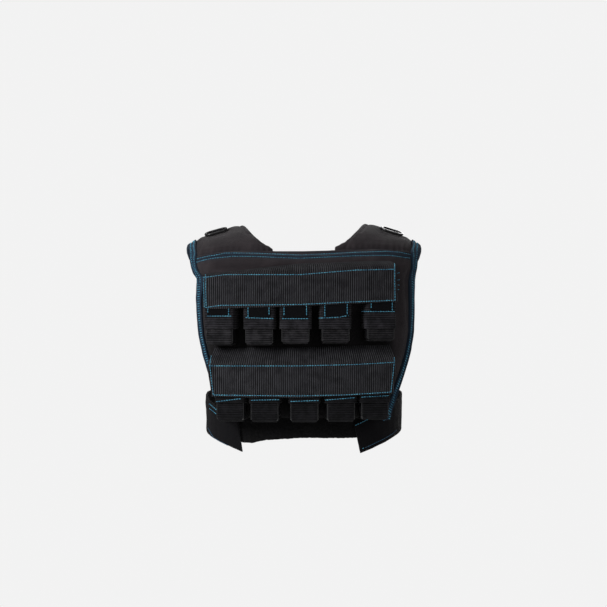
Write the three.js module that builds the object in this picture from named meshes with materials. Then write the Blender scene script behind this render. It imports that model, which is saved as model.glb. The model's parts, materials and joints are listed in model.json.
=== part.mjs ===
// Weighted vest for training, as worn: padded cloth panels, two rows of iron blocks in webbing pockets, belt wings.
// Millimetres, +Z up, +Y the wearer's front, +X the wearer's right as seen from behind.
// The origin lies midway between the shoulders, level with the underside of the pads at their crest.
import * as THREE from 'three';

// Whole vest and the rounded form that it fits
const vestHeight = 380;
const backHalfWidth = 186;
const formDepth = 115;
const formCentre = -2;
const waistHalfWidth = 0.842 * backHalfWidth;
const waistDepth = 0.818 * formDepth;
const clearance = 0.3;

// Padded panels and pads
const panelThickness = 7;
const panelRoll = 10;
const panelEdgeDrop = 2.4;
const panelBottom = 0.79 * vestHeight;
const frontThickness = 7;
const frontTop = 0.163 * vestHeight;
const frontSideBottom = 0.763 * vestHeight;
const padThickness = 9;
const padEdgeDrop = 3;
const padInset = 1;
const neckSeamX = 0.276 * backHalfWidth;
const neckCrestX = 0.480 * backHalfWidth;
const armCrestX = 0.988 * backHalfWidth;
const neckFrontX = 0.344 * backHalfWidth;
const crestY = -5;
const crestHeight = 20;
const rightPadRise = 3;
const armFlare = 9;

// Binding tape round the armholes
const bindingWidth = 9.5;
const bindingThickness = 3.6;
const bindingInset = 1.6;
const bindingRound = 0.5;

// Iron blocks and their pockets
const blockWidth = 0.2475 * backHalfWidth;
const blockDepth = 26;
const blockHeight = 0.2474 * vestHeight;
const blockChamfer = 3;
const strapInset = 1.5;
const strapWidth = blockWidth - 2 * strapInset;
const strapThickness = 1.6;
const sleeveThickness = 1.6;
const sleevePlay = 1.4;
const sleeveWidth = blockWidth + 2 * (sleeveThickness + sleevePlay);
const sleeveCorner = 3.4;
const sleeveDroop = 0.1;
const strapRise = 0.8 * blockHeight;
const pocketPlay = 0.8;
const rowFan = 17;
const fanReach = 0.75 * backHalfWidth;
const flapThickness = 1.8;
const flapClearance = 1.4;

// Belt
const beltThickness = 3;
const beltTop = 0.69 * vestHeight;
const beltLowest = 0.90 * vestHeight;
const wingThickness = 4.5;
const wingHeight = 0.15 * vestHeight;
const wingPlay = 0.9;
const wingRound = 0.6;
const wingLeaves = 92;

// Shoulder rings
const ringLength = 40;
const ringWidth = 24;
const ringBar = 4.2;
const ringThickness = 4;
const ringBevel = 0.9;
const ringLift = 1.4;
const tabWidth = 15;
const tabThickness = 1.4;
const tabTail = 24;
const tabPlay = 0.9;

const fabric = () => new THREE.MeshStandardMaterial({ color: 0x2b292c, roughness: 0.9, metalness: 0 });
const webbing = () => new THREE.MeshStandardMaterial({ color: 0x242528, roughness: 0.8, metalness: 0 });
const tape = () => new THREE.MeshStandardMaterial({ color: 0x1c2a3a, roughness: 0.8, metalness: 0 });
const loopPile = () => new THREE.MeshStandardMaterial({ color: 0x0b0b0d, roughness: 1, metalness: 0 });
const iron = () => new THREE.MeshStandardMaterial({ color: 0x1d1d20, roughness: 0.45, metalness: 0.6 });
const plastic = () => new THREE.MeshStandardMaterial({ color: 0x0c0c0e, roughness: 0.3, metalness: 0 });

const lerp = THREE.MathUtils.lerp;
const smoothstep = THREE.MathUtils.smoothstep;
const vest = new THREE.Group();

// Level sections of the form. down is a share of vestHeight; width and depth are shares of the form's own sizes;
// square is the exponent of the rounded outline.
const backSections = [
  { down: 0.00, width: 1.075, depth: 0.62, square: 2.6 },
  { down: 0.07, width: 1.075, depth: 0.78, square: 2.6 },
  { down: 0.13, width: 1.075, depth: 0.89, square: 2.6 },
  { down: 0.22, width: 1.070, depth: 0.97, square: 2.6 },
  { down: 0.32, width: 1.065, depth: 1.00, square: 2.6 },
  { down: 0.45, width: 1.055, depth: 1.00, square: 2.6 },
  { down: 0.58, width: 1.020, depth: 0.97, square: 2.6 },
  { down: 0.70, width: 0.970, depth: 0.94, square: 2.6 },
  { down: 0.80, width: 0.925, depth: 0.94, square: 2.6 },
];
const frontSections = [
  { down: 0.15, width: 1.050, depth: 0.74, square: 2.5 },
  { down: 0.24, width: 1.030, depth: 0.88, square: 2.5 },
  { down: 0.34, width: 0.985, depth: 0.94, square: 2.5 },
  { down: 0.48, width: 0.930, depth: 0.92, square: 2.5 },
  { down: 0.60, width: 0.870, depth: 0.89, square: 2.4 },
  { down: 0.78, width: 0.862, depth: 0.88, square: 2.4 },
];
const waistSections = [
  { down: 0.54, width: 1.02, depth: 1.04, square: 2.4 },
  { down: 0.68, width: 1.00, depth: 1.00, square: 2.4 },
  { down: 0.80, width: 0.99, depth: 0.99, square: 2.4 },
  { down: 0.96, width: 1.00, depth: 1.01, square: 2.4 },
];

// Outer edge of the binding down the back, as shares of backHalfWidth on each side
const backEdges = [
  { down: 0.050, left: 1.035, right: 1.035 },
  { down: 0.095, left: 1.032, right: 1.028 },
  { down: 0.137, left: 1.020, right: 1.022 },
  { down: 0.158, left: 0.992, right: 1.008 },
  { down: 0.178, left: 0.956, right: 1.000 },
  { down: 0.220, left: 0.964, right: 0.994 },
  { down: 0.280, left: 0.971, right: 0.997 },
  { down: 0.408, left: 0.955, right: 0.993 },
  { down: 0.474, left: 0.934, right: 0.981 },
  { down: 0.560, left: 0.878, right: 0.927 },
  { down: 0.647, left: 0.824, right: 0.872 },
  { down: 0.713, left: 0.778, right: 0.812 },
  { down: 0.800, left: 0.742, right: 0.766 },
];
// The same edge down the front, where the armhole is scooped
const frontEdges = [
  { down: 0.150, half: 0.985 },
  { down: 0.200, half: 0.880 },
  { down: 0.280, half: 0.810 },
  { down: 0.400, half: 0.785 },
  { down: 0.500, half: 0.765 },
  { down: 0.590, half: 0.700 },
  { down: 0.780, half: 0.640 },
];
// Top edge of the back panel: across runs from the left edge to the right, drop is a share of vestHeight
const backTop = [
  { across: 0.00, drop: 0.0880 },
  { across: 0.14, drop: 0.0650 },
  { across: 0.50, drop: 0.0650 },
  { across: 0.85, drop: 0.0560 },
  { across: 1.00, drop: 0.0700 },
];
// Crest of a shoulder pad from the neck edge to the arm edge, as shares of crestHeight
const padCrest = [
  { across: 0.00, rise: 0.42 },
  { across: 0.06, rise: 0.78 },
  { across: 0.17, rise: 0.99 },
  { across: 0.29, rise: 0.87 },
  { across: 0.40, rise: 0.70 },
  { across: 0.60, rise: 0.39 },
  { across: 0.82, rise: 0.08 },
  { across: 0.95, rise: -0.20 },
  { across: 1.00, rise: -0.36 },
];

// A value read from a table between its rows, keyed on the named column
function read(table, key, at, column) {
  const last = table.length - 1;
  if (at <= table[0][key]) return table[0][column];
  for (let row = 0; row < last; row += 1) {
    const from = table[row];
    const to = table[row + 1];
    if (at <= to[key]) return lerp(from[column], to[column], (at - from[key]) / (to[key] - from[key]));
  }
  return table[last][column];
}

// A point on a form's skin at a given x, facing front (+1) or back (-1), moved out along the level normal
function onForm(form, x, z, offset) {
  const down = -z / vestHeight;
  const halfWidth = form.halfWidth * read(form.sections, 'down', down, 'width');
  const depth = form.depth * read(form.sections, 'down', down, 'depth');
  const square = read(form.sections, 'down', down, 'square');
  const share = Math.min(Math.abs(x) / halfWidth, 0.995);
  const reach = (1 - share ** square) ** (1 / square);
  const normal = new THREE.Vector2(Math.sign(x) * share ** (square - 1) / halfWidth,
    form.facing * reach ** (square - 1) / depth).normalize();
  return new THREE.Vector3(x + normal.x * offset, formCentre + form.facing * depth * reach + normal.y * offset, z);
}
const backForm = { sections: backSections, halfWidth: backHalfWidth, depth: formDepth, facing: -1 };
const frontForm = { sections: frontSections, halfWidth: backHalfWidth, depth: formDepth, facing: 1 };

// A point round the waist at an angle from the centre back, where +90 degrees is the right side
function onWaist(degrees, z, offset) {
  const down = -z / vestHeight;
  const halfWidth = waistHalfWidth * read(waistSections, 'down', down, 'width');
  const depth = waistDepth * read(waistSections, 'down', down, 'depth');
  const square = read(waistSections, 'down', down, 'square');
  const across = Math.sin(THREE.MathUtils.degToRad(degrees));
  const along = Math.cos(THREE.MathUtils.degToRad(degrees));
  const x = Math.sign(across) * halfWidth * Math.abs(across) ** (2 / square);
  const y = -Math.sign(along) * depth * Math.abs(along) ** (2 / square);
  const normal = new THREE.Vector2(Math.sign(across) * Math.abs(across) ** (2 - 2 / square) / halfWidth,
    -Math.sign(along) * Math.abs(along) ** (2 - 2 / square) / depth).normalize();
  return new THREE.Vector3(x + normal.x * offset, formCentre + y + normal.y * offset, z);
}

// Signed volume of a triangle mesh, to tell whether its faces point out
function signedVolume(points, index) {
  let volume = 0;
  for (let i = 0; i < index.length; i += 3) {
    const [a, b, c] = [points[index[i]], points[index[i + 1]], points[index[i + 2]]];
    volume += a.dot(new THREE.Vector3().crossVectors(b, c)) / 6;
  }
  return volume;
}

// A closed wall: place(u, v, face) gives its outer skin at face 1 and its inner skin at face 0
function wall(us, vs, place) {
  const points = [];
  const index = [];
  const wide = us.length;
  const tall = vs.length;
  for (const face of [0, 1]) {
    for (const v of vs) {
      for (const u of us) points.push(place(u, v, face));
    }
  }
  const at = (face, row, column) => (face * tall + row) * wide + column;
  const quad = (a, b, c, d) => index.push(a, b, c, a, c, d);
  for (let row = 0; row < tall - 1; row += 1) {
    for (let column = 0; column < wide - 1; column += 1) {
      quad(at(1, row, column), at(1, row, column + 1), at(1, row + 1, column + 1), at(1, row + 1, column));
      quad(at(0, row, column), at(0, row + 1, column), at(0, row + 1, column + 1), at(0, row, column + 1));
    }
  }
  for (let column = 0; column < wide - 1; column += 1) {
    quad(at(0, 0, column), at(0, 0, column + 1), at(1, 0, column + 1), at(1, 0, column));
    quad(at(1, tall - 1, column), at(1, tall - 1, column + 1), at(0, tall - 1, column + 1), at(0, tall - 1, column));
  }
  for (let row = 0; row < tall - 1; row += 1) {
    quad(at(1, row, 0), at(1, row + 1, 0), at(0, row + 1, 0), at(0, row, 0));
    quad(at(0, row, wide - 1), at(0, row + 1, wide - 1), at(1, row + 1, wide - 1), at(1, row, wide - 1));
  }
  if (signedVolume(points, index) < 0) index.reverse();
  const geometry = new THREE.BufferGeometry().setFromPoints(points);
  geometry.setIndex(index);
  geometry.computeVertexNormals();
  return geometry;
}

// Evenly spaced shares from 0 to 1
const shares = (count) => Array.from({ length: count + 1 }, (_, i) => i / count);

// Shares from 0 to 1 with an extra line at each end for a rolled edge
function rolledShares(count, length) {
  const edge = panelRoll / length;
  return [0, edge * 0.4, edge, ...shares(count).slice(1, -1).filter((s) => s > edge && s < 1 - edge),
    1 - edge, 1 - edge * 0.4, 1];
}

// How far a padded skin falls near an edge
const rollDrop = (distance, drop) => drop * (1 - Math.sqrt(smoothstep(distance, 0, panelRoll)));

function add(name, geometry, material, parent = vest) {
  const mesh = new THREE.Mesh(geometry, material);
  mesh.name = name;
  parent.add(mesh);
  return mesh;
}

// Padded edge of the back panel, inside its binding
function backEdgeX(side, z) {
  const share = read(backEdges, 'down', -z / vestHeight, side < 0 ? 'left' : 'right');
  return side * (share * backHalfWidth - bindingWidth);
}
const frontEdgeX = (side, z) => side
  * (read(frontEdges, 'down', -z / vestHeight, 'half') * backHalfWidth - bindingWidth);
const backTopZ = (across) => -vestHeight * read(backTop, 'across', across, 'drop');

// Back panel
const backRows = [0, 0.02, 0.05, 0.085, 0.12, 0.16, 0.25, 0.36, 0.48, 0.6, 0.72, 0.84, 0.95, 0.985, 1];
const backZ = (across, down) => lerp(backTopZ(across), -panelBottom, down);

function backSkin(across, down, inward) {
  const z = backZ(across, down);
  const x = lerp(backEdgeX(-1, z), backEdgeX(1, z), across);
  return onForm(backForm, x, z, -inward);
}

function backPanel() {
  const width = 2 * backHalfWidth;
  return wall(rolledShares(12, width), backRows, (u, v, face) => {
    const toSide = Math.min(u, 1 - u) * width;
    const toBottom = (1 - v) * panelBottom;
    const drop = Math.max(rollDrop(toSide, panelEdgeDrop), rollDrop(toBottom, panelEdgeDrop));
    return backSkin(u, v, face ? drop : panelThickness);
  });
}
add('back_panel', backPanel(), fabric());

// Front panel, plain
const frontRows = [0, 0.06, 0.14, 0.26, 0.4, 0.55, 0.7, 0.74, 0.86, 1];
const bindingEnd = 0.75;
const frontZ = (down) => lerp(-frontTop, -frontSideBottom, down);

function frontSkin(across, down, inward) {
  const z = frontZ(down);
  return onForm(frontForm, lerp(frontEdgeX(-1, z), frontEdgeX(1, z), across), z, -inward);
}

function frontPanel() {
  const width = 2 * backHalfWidth * frontEdges[3].half;
  return wall(rolledShares(10, width), frontRows, (u, v, face) => {
    const drop = rollDrop(Math.min(u, 1 - u) * width, panelEdgeDrop);
    return frontSkin(u, v, face ? drop : frontThickness);
  });
}
add('front_panel', frontPanel(), fabric());

// Shoulder pads. across runs from the neck edge to the arm edge, along from the back seam over the crest to the front.
const padTurn = 0.55;
const padRows = shares(14);
const climb = (t) => padTurn * Math.sin(t * Math.PI / 2) + (1 - padTurn) * t;
const advance = (t) => padTurn * (1 - Math.cos(t * Math.PI / 2)) + (1 - padTurn) * t;

function padSeam(side, across) {
  const armZ = backTopZ(side < 0 ? 0 : 1);
  const x = side * lerp(neckSeamX, Math.abs(backEdgeX(side, armZ)), across);
  const left = backEdgeX(-1, backTopZ(0));
  const right = backEdgeX(1, backTopZ(1));
  const z = backTopZ((x - left) / (right - left)) + clearance;
  return onForm(backForm, x, z, -padInset);
}

function padCrestPoint(side, across) {
  const rise = side > 0 ? rightPadRise * (1 - across) : 0;
  const z = crestHeight * read(padCrest, 'across', across, 'rise') + rise;
  return new THREE.Vector3(side * lerp(neckCrestX, armCrestX, across), crestY, z);
}

function padFront(side, across) {
  const x = side * lerp(neckFrontX, Math.abs(frontEdgeX(side, -frontTop)), across);
  return onForm(frontForm, x, -frontTop + clearance, -padInset);
}

function padSkin(side, across, along) {
  const crest = padCrestPoint(side, across);
  const inFront = along > 0.5;
  const end = inFront ? padFront(side, across) : padSeam(side, across);
  const t = inFront ? (1 - along) * 2 : along * 2;
  const flare = inFront ? side * armFlare * across ** 3 * Math.sin(t * Math.PI) : 0;
  return new THREE.Vector3(lerp(end.x, crest.x, climb(t)) + flare,
    lerp(end.y, crest.y, advance(t)), lerp(end.z, crest.z, climb(t)));
}

function padNormal(side, across, along) {
  const step = 0.01;
  const a = THREE.MathUtils.clamp(across, step, 1 - step);
  const b = THREE.MathUtils.clamp(along, step, 1 - step);
  const over = padSkin(side, a + step, b).sub(padSkin(side, a - step, b));
  const round = padSkin(side, a, b + step).sub(padSkin(side, a, b - step));
  const normal = over.cross(round).normalize();
  const skin = padSkin(side, across, along);
  const inside = new THREE.Vector3(skin.x, crestY, -2 * frontTop);
  if (normal.dot(skin.sub(inside)) < 0) normal.negate();
  normal.z *= smoothstep(Math.min(along, 1 - along), 0, 0.2);
  return normal.normalize();
}

const padOffset = (side, across, along, inward) => padSkin(side, across, along)
  .addScaledVector(padNormal(side, across, along), -inward);

function shoulderPad(side) {
  const width = armCrestX - neckCrestX;
  return wall(rolledShares(7, width), padRows, (u, v, face) => {
    const drop = rollDrop(Math.min(u, 1 - u) * width, padEdgeDrop);
    return padOffset(side, u, v, face ? drop : padThickness);
  });
}

// Armhole binding: one folded tape up the back panel's edge, over the pad's arm edge and down the front panel's edge
function armholeEdge(side) {
  const onPanel = (form, x, z) => {
    const edge = onForm(form, x, z, 0);
    return { edge, normal: onForm(form, x, z, 1).sub(edge) };
  };
  const back = [...backRows].reverse().map((down) => {
    const z = backZ(side < 0 ? 0 : 1, down);
    return onPanel(backForm, backEdgeX(side, z), z);
  });
  const over = padRows.slice(1, -1)
    .map((along) => ({ edge: padSkin(side, 1, along), normal: padNormal(side, 1, along) }));
  const front = frontRows.filter((down) => down < bindingEnd)
    .map((down) => onPanel(frontForm, frontEdgeX(side, frontZ(down)), frontZ(down)));
  return [...back, ...over, ...front];
}

function armholeBinding(side) {
  const line = armholeEdge(side);
  const last = line.length - 1;
  const across = line.map(({ normal }, i) => {
    const run = line[Math.min(i + 1, last)].edge.clone().sub(line[Math.max(i - 1, 0)].edge);
    const out = run.cross(normal).normalize();
    return out.x * side < 0 ? out.negate() : out;
  });
  return wall([0, 0.5, 1], line.map((_, i) => i), (u, v, face) => {
    const round = bindingRound * (2 * u - 1) ** 2;
    const inward = bindingInset + (face ? round : bindingThickness - round);
    return line[v].edge.clone().addScaledVector(across[v], lerp(clearance, bindingWidth, u))
      .addScaledVector(line[v].normal, -inward);
  });
}

for (const [name, side] of [['left', -1], ['right', 1]]) {
  add(`shoulder_pad_${name}`, shoulderPad(side), fabric());
  add(`armhole_binding_${name}`, armholeBinding(side), tape());
}

// Rows of pockets. Each pocket's centre at its front, and a flap's ends at its ridge and at its hem, are shares of
// backHalfWidth from the vest's middle. The sleeves' lower edge, each pocket's bottom, and a flap's seam, ridge and hem
// at its left end, middle and right end are shares of vestHeight.
const pocketRows = [
  {
    name: 'upper',
    sleeve: 0.396,
    left: -0.892,
    right: 0.817,
    hemLeft: -0.885,
    hemRight: 0.822,
    flap: [
      { across: 0.0, seam: 0.165, ridge: 0.180, hem: 0.317 },
      { across: 0.5, seam: 0.122, ridge: 0.166, hem: 0.304 },
      { across: 1.0, seam: 0.110, ridge: 0.142, hem: 0.285 },
    ],
    slope: [
      { out: 0.00, fall: 0.00 },
      { out: 0.36, fall: 0.12 },
      { out: 0.72, fall: 0.36 },
      { out: 0.93, fall: 0.66 },
      { out: 1.00, fall: 1.00 },
    ],
    pockets: [
      { centre: -0.753, bottom: 0.4745 },
      { centre: -0.398, bottom: 0.4740 },
      { centre: -0.076, bottom: 0.4680 },
      { centre: 0.281, bottom: 0.4660 },
      { centre: 0.683, bottom: 0.4560 },
    ],
  },
  {
    name: 'lower',
    sleeve: 0.713,
    left: -0.850,
    right: 0.812,
    hemLeft: -0.812,
    hemRight: 0.785,
    flap: [
      { across: 0.0, seam: 0.488, ridge: 0.559, hem: 0.695 },
      { across: 0.5, seam: 0.484, ridge: 0.558, hem: 0.698 },
      { across: 1.0, seam: 0.474, ridge: 0.545, hem: 0.682 },
    ],
    slope: [
      { out: 0.00, fall: 0.00 },
      { out: 0.30, fall: 0.28 },
      { out: 0.62, fall: 0.56 },
      { out: 0.90, fall: 0.84 },
      { out: 1.00, fall: 1.00 },
    ],
    pockets: [
      { centre: -0.656, bottom: 0.8030 },
      { centre: -0.350, bottom: 0.8050 },
      { centre: 0.004, bottom: 0.8050 },
      { centre: 0.328, bottom: 0.8030 },
      { centre: 0.630, bottom: 0.7950 },
    ],
  },
];

// Depths of the layers of a pocket, out from the panel
const blockBack = strapThickness + clearance;
const blockFront = blockBack + blockDepth;
const strapFront = blockFront + clearance + strapThickness;
const sleeveFront = strapFront + clearance + sleeveThickness;

// Each row stands on a spine: a level curve whose direction turns evenly from the vest's middle out to its sides
const rowTurn = THREE.MathUtils.degToRad(rowFan) / fanReach;
const spineSweep = (x) => -Math.log(Math.cos(rowTurn * x)) / rowTurn;

function spineAt(row, x) {
  const angle = rowTurn * x;
  return {
    origin: new THREE.Vector3(x, row.spine + spineSweep(x), 0),
    across: new THREE.Vector3(Math.cos(angle), Math.sin(angle), 0),
    outward: new THREE.Vector3(Math.sin(angle), -Math.cos(angle), 0),
  };
}

// Where the spine lies under a point that stands out from it by a distance
function spineUnder(x, out) {
  let under = x;
  for (let pass = 0; pass < 6; pass += 1) under = x - Math.sin(rowTurn * under) * out;
  return under;
}

// The spine lies just outside the back panel all along its row
function seatSpine(row) {
  let spine = Infinity;
  for (const pocket of row.pockets) {
    for (const side of [-0.5, 0, 0.5]) {
      for (const height of [0, 0.5, 1]) {
        const x = spineUnder(pocket.centre * backHalfWidth, sleeveFront) + side * sleeveWidth;
        const z = -pocket.bottom * vestHeight + height * blockHeight;
        spine = Math.min(spine, onForm(backForm, x, z, 0).y - spineSweep(x));
      }
    }
  }
  return spine - pocketPlay;
}

// Distance out from a point, along a level direction, to the back panel's skin
function standOff(origin, direction, z) {
  let out = 0;
  for (let pass = 0; pass < 8; pass += 1) {
    const x = origin.x + direction.x * out;
    const y = origin.y + direction.y * out;
    out += (y - onForm(backForm, x, z, 0).y) / -direction.y;
  }
  return out;
}

function inPocket(frame, across, out, z) {
  const point = frame.origin.clone().addScaledVector(frame.across, across).addScaledVector(frame.outward, out);
  return point.setZ(z);
}

// Iron block with chamfered edges all round
function ironBlock() {
  const half = [blockWidth / 2, blockDepth / 2, blockHeight / 2];
  const outline = new THREE.Shape();
  const [w, d] = [half[0] - blockChamfer, half[1] - blockChamfer];
  outline.moveTo(-w, -d);
  outline.lineTo(w, -d);
  outline.lineTo(w, d);
  outline.lineTo(-w, d);
  outline.closePath();
  const block = new THREE.ExtrudeGeometry(outline, {
    depth: blockHeight - 2 * blockChamfer,
    bevelSize: blockChamfer,
    bevelThickness: blockChamfer,
    bevelSegments: 1,
  });
  return block.translate(0, 0, blockChamfer);
}

// Cross-ribbed strap down the front of the block, under it and up its back
function blockStrap(frame) {
  const low = frame.bottom + strapThickness + clearance;
  const high = low + strapRise;
  const c = blockChamfer;
  const corner = 0.4 * c;
  const path = [
    { out: blockFront, z: high, ahead: 1, down: 0 },
    { out: blockFront, z: low + strapRise / 3, ahead: 1, down: 0 },
    { out: blockFront, z: low + c, ahead: 1, down: 0 },
    { out: blockFront - corner, z: low + corner, ahead: 0.7, down: 0.7 },
    { out: blockFront - c, z: low, ahead: 0, down: 1 },
    { out: blockBack + c, z: low, ahead: 0, down: 1 },
    { out: blockBack + corner, z: low + corner, ahead: -0.7, down: 0.7 },
    { out: blockBack, z: low + c, ahead: -1, down: 0 },
    { out: blockBack, z: high, ahead: -1, down: 0 },
  ];
  return wall([-0.5, -0.45, 0.45, 0.5], path.map((_, i) => i), (u, v, face) => {
    const { out, z, ahead, down } = path[v];
    const skin = clearance + (face ? strapThickness * (Math.abs(u) > 0.48 ? 0.7 : 1) : 0);
    return inPocket(frame, u * (strapWidth - c * down), out + ahead * skin, z - down * skin);
  });
}

// Wide webbing sleeve round the front and both sides of a pocket, ending on the panel
function pocketSleeve(frame, top, bottom) {
  const front = strapFront + clearance;
  const c = sleeveCorner;
  const corner = 0.3 * c;
  const half = [
    { side: -1, out: 0, inset: 0, turn: 0 },
    { side: -1, out: 0.5 * front, inset: 0, turn: 0 },
    { side: -1, out: front - c, inset: 0, turn: 0 },
    { side: -1, out: front - corner, inset: corner, turn: 45 },
    { side: -1, out: front, inset: c, turn: 90 },
  ];
  const path = [...half, ...half.map((station) => ({ ...station, side: 1 })).reverse()];
  return wall(path.map((_, i) => i), shares(4), (u, v, face) => {
    const { side, out, inset, turn } = path[u];
    const skin = face ? sleeveThickness : 0;
    const angle = THREE.MathUtils.degToRad(turn);
    const across = side * (sleeveWidth / 2 - sleeveThickness - inset + skin * Math.cos(angle));
    const z = lerp(top, bottom, v);
    const from = frame.origin.clone().addScaledVector(frame.across, across);
    const start = standOff(from, frame.outward, z) + 2 * clearance;
    return inPocket(frame, across, lerp(start, 0, out / front) + out + skin * Math.sin(angle), z);
  });
}

// Ribbed webbing flap: sewn to the panel at its seam, out over the pockets to its ridge, then down to its hem
function pocketFlap(row) {
  const stand = sleeveFront + flapClearance;
  const stations = [...row.slope.map((station) => ({ ...station, hang: 0 })),
    { out: 1, fall: 1, hang: 0.33 }, { out: 1, fall: 1, hang: 0.67 }, { out: 1, fall: 1, hang: 1 }];
  return wall(shares(14), stations.map((_, i) => i), (u, v, face) => {
    const { out, fall, hang } = stations[v];
    const left = lerp(row.left, row.hemLeft, hang);
    const right = lerp(row.right, row.hemRight, hang);
    const x = spineUnder(lerp(left, right, u) * backHalfWidth, stand);
    const seam = -vestHeight * read(row.flap, 'across', u, 'seam');
    const ridge = -vestHeight * read(row.flap, 'across', u, 'ridge');
    const hem = -vestHeight * read(row.flap, 'across', u, 'hem');
    const z = hang > 0 ? lerp(ridge, hem, hang) : lerp(seam, ridge, fall);
    const frame = spineAt(row, x);
    const start = standOff(frame.origin, frame.outward, z) + 2 * clearance;
    const lean = out === 0 ? 0.8 : fall;
    const skin = face ? flapThickness : 0;
    return inPocket(frame, 0, lerp(start, stand, out) + skin * lean, z + skin * Math.sqrt(1 - lean * lean));
  });
}

for (const row of pocketRows) {
  row.spine = seatSpine(row);
  row.pockets.forEach((pocket, i) => {
    const number = i + 1;
    const seat = spineUnder(pocket.centre * backHalfWidth, sleeveFront);
    const frame = { ...spineAt(row, seat), bottom: -pocket.bottom * vestHeight };
    const across = (pocket.centre - row.left) / (row.right - row.left);
    const ridge = -vestHeight * read(row.flap, 'across', across, 'ridge');
    const holder = new THREE.Group();
    holder.position.copy(inPocket(frame, 0, (blockBack + blockFront) / 2, frame.bottom + strapThickness + clearance));
    holder.rotation.z = Math.atan2(frame.across.y, frame.across.x);
    vest.add(holder);
    add(`${row.name}_weight_${number}`, ironBlock(), iron(), holder);
    add(`${row.name}_strap_${number}`, blockStrap(frame), webbing());
    add(`${row.name}_sleeve_${number}`, pocketSleeve(frame, ridge - sleeveCorner, lerp(-row.sleeve * vestHeight, frame.bottom, sleeveDroop)), webbing());
  });
  add(`${row.name}_flap`, pocketFlap(row), webbing());
}

// Belt strip across the back waist, its lower edge bowed
const beltEdges = [
  { across: 0.00, low: 0.985 },
  { across: 0.25, low: 1.000 },
  { across: 0.32, low: 0.985 },
  { across: 0.50, low: 0.974 },
  { across: 1.00, low: 0.972 },
];
const beltSpan = [-58, 56];

// Its top edge is sewn to the inside of the back panel, and below that it lies on the waist
function backBelt() {
  return wall(shares(12), [0, 0.07, 0.25, 0.5, 0.75, 1], (u, v, face) => {
    const low = beltLowest * read(beltEdges, 'across', u, 'low');
    const z = -lerp(beltTop, low, v);
    const onBody = onWaist(lerp(beltSpan[0], beltSpan[1], u), z, face ? beltThickness : 0);
    const inward = panelThickness + 2 * clearance + (face ? 0 : beltThickness);
    return onForm(backForm, onBody.x, z, -inward).lerp(onBody, smoothstep(v, 0.05, 0.25));
  });
}
add('back_belt', backBelt(), loopPile());

// Belt wings from the front panel's sides round to the back. angle is measured from the centre back, middle is the
// height of the wing's centre line as a share of vestHeight, tall is its height as a share of wingHeight.
const wings = {
  left: [
    { angle: 37.5, middle: 0.862, tall: 1.00, shear: 2.0 },
    { angle: 48, middle: 0.836, tall: 1.00, shear: 1.0 },
    { angle: 62, middle: 0.811, tall: 1.00, shear: 0 },
    { angle: 76, middle: 0.790, tall: 1.00, shear: 0 },
    { angle: 90, middle: 0.768, tall: 1.00, shear: 0 },
    { angle: 106, middle: 0.738, tall: 1.00, shear: 0 },
    { angle: 120, middle: 0.708, tall: 0.98, shear: 0 },
    { angle: 129, middle: 0.690, tall: 0.95, shear: 0 },
  ],
  right: [
    { angle: 29.5, middle: 0.880, tall: 0.84, shear: -2.0 },
    { angle: 45, middle: 0.842, tall: 0.92, shear: -1.0 },
    { angle: 60, middle: 0.808, tall: 1.00, shear: 0 },
    { angle: 75, middle: 0.783, tall: 1.00, shear: 0 },
    { angle: 90, middle: 0.762, tall: 1.00, shear: 0 },
    { angle: 106, middle: 0.735, tall: 1.00, shear: 0 },
    { angle: 120, middle: 0.708, tall: 0.98, shear: 0 },
    { angle: 129, middle: 0.690, tall: 0.95, shear: 0 },
  ],
};

// Toward its front end a wing leaves the round of the waist and meets the edge of the front panel
function beltWing(side, rows) {
  const offset = beltThickness + wingPlay;
  const far = rows[rows.length - 1].angle;
  return wall(shares(14), shares(4), (u, v, face) => {
    const at = lerp(rows[0].angle, far, u);
    const middle = -vestHeight * read(rows, 'angle', at, 'middle');
    const tall = wingHeight * read(rows, 'angle', at, 'tall');
    const angle = at + read(rows, 'angle', at, 'shear') * (1 - 2 * v);
    const z = middle + tall * (0.5 - v);
    const edge = v === 0 || v === 1 ? wingRound : 0;
    const skin = face ? wingThickness - edge : edge;
    const joint = onForm(frontForm, frontEdgeX(side, z) + side * clearance, z, skin - wingThickness - bindingInset);
    return onWaist(side * angle, z, offset + skin).lerp(joint, smoothstep(at, wingLeaves, far));
  });
}
add('belt_wing_left', beltWing(-1, wings.left), fabric());
add('belt_wing_right', beltWing(1, wings.right), fabric());

// Shoulder rings: flat oval rings lying on the pads just behind the crest, each held by a webbing tab at its far bar
const ringAcross = 0.61;
const ringAlong = 0.435;

function ovalRing() {
  const oval = (target, length, width) => {
    const straight = (length - width) / 2;
    target.moveTo(-straight, -width / 2);
    target.lineTo(straight, -width / 2);
    target.absarc(straight, 0, width / 2, -Math.PI / 2, Math.PI / 2, false);
    target.lineTo(-straight, width / 2);
    target.absarc(-straight, 0, width / 2, Math.PI / 2, Math.PI * 1.5, false);
    return target;
  };
  const bevel = ringBevel;
  const outline = oval(new THREE.Shape(), ringLength - 2 * bevel, ringWidth - 2 * bevel);
  outline.holes.push(oval(new THREE.Path(), ringLength - 2 * (ringBar - bevel), ringWidth - 2 * (ringBar - bevel)));
  const ring = new THREE.ExtrudeGeometry(outline, {
    depth: ringThickness - 2 * bevel,
    bevelSize: bevel,
    bevelThickness: bevel,
    bevelSegments: 1,
    curveSegments: 8,
  });
  return ring.translate(0, 0, bevel);
}

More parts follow.
